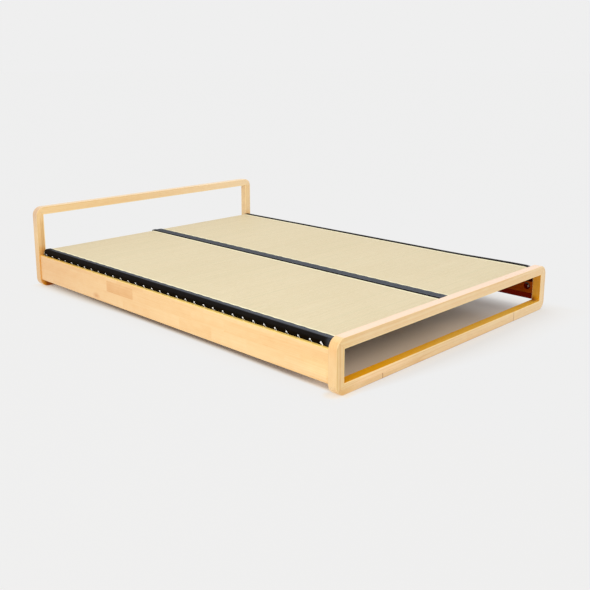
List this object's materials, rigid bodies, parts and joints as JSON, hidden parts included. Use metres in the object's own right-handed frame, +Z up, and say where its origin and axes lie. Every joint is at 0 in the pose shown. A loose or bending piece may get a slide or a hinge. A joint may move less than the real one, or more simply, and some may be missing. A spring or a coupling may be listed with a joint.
{
  "type": "tatami platform bed",
  "caption": "Low timber platform bed: a low foot loop and a tall head loop joined by side rails, with cloth-bordered tatami mats lying side by side on hidden slats.",
  "frame": {"origin": "on the floor, under the middle of the bed", "axes": "+X to the right seen from the foot, +Y from the foot loop to the head loop, +Z up"},
  "size_m": [1.578, 2.212, 0.443],
  "materials": {
    "maple": "clear satin lacquer on pale maple",
    "maple_inner": "sanded maple, thin clear coat",
    "softwood": "planed, unfinished",
    "dowel_wood": "unfinished beech",
    "zinc_steel": "zinc plated",
    "mat_board": "pressed fibre board",
    "woven_rush": "woven rush, fine ribs",
    "border_cloth": "dark woven cloth",
    "thread": "twisted white thread"
  },
  "bodies": {
    "frame": {"foot_top_bar": "maple", "foot_left_post": "maple", "foot_right_post": "maple", "foot_bottom_bar": "maple", "foot_runner_left": "maple", "foot_runner_middle": "maple", "foot_runner_right": "maple", "head_top_bar": "maple", "head_left_post": "maple", "head_right_post": "maple", "head_bottom_bar": "maple", "head_runner_left": "maple", "head_runner_middle": "maple", "head_runner_right": "maple", "mitre_tongues": "dowel_wood", "side_rail_left": "maple", "side_rail_right": "maple", "ledger_left": "maple_inner", "ledger_right": "maple_inner", "ledger_screws": "zinc_steel", "rail_dowels": "dowel_wood", "hanger_bolts": "zinc_steel", "half_moon_washers": "zinc_steel", "hex_nuts": "zinc_steel", "centre_beam": "softwood", "centre_leg_foot": "softwood", "centre_leg_middle": "softwood", "centre_leg_head": "softwood", "leg_dowels": "dowel_wood", "slat_01": "softwood", "slat_02": "softwood", "slat_03": "softwood", "slat_04": "softwood", "slat_05": "softwood", "slat_06": "softwood", "slat_07": "softwood", "slat_08": "softwood", "slat_09": "softwood", "slat_10": "softwood", "slat_11": "softwood", "slat_12": "softwood", "slat_13": "softwood", "slat_screws": "zinc_steel"},
    "mat_left": {"mat_left_core": "mat_board", "mat_left_rush": "woven_rush", "mat_left_border_outer": "border_cloth", "mat_left_border_inner": "border_cloth", "mat_left_stitches": "thread"},
    "mat_right": {"mat_right_core": "mat_board", "mat_right_rush": "woven_rush", "mat_right_border_outer": "border_cloth", "mat_right_border_inner": "border_cloth", "mat_right_stitches": "thread"}
  },
  "joints": [
    {"name": "mat_left_lift", "type": "slide", "parent": "frame", "child": "mat_left", "axis": [0, 0, 1], "range_m": [0, 0.3]},
    {"name": "mat_right_lift", "type": "slide", "parent": "frame", "child": "mat_right", "axis": [0, 0, 1], "range_m": [0, 0.3]}
  ]
}
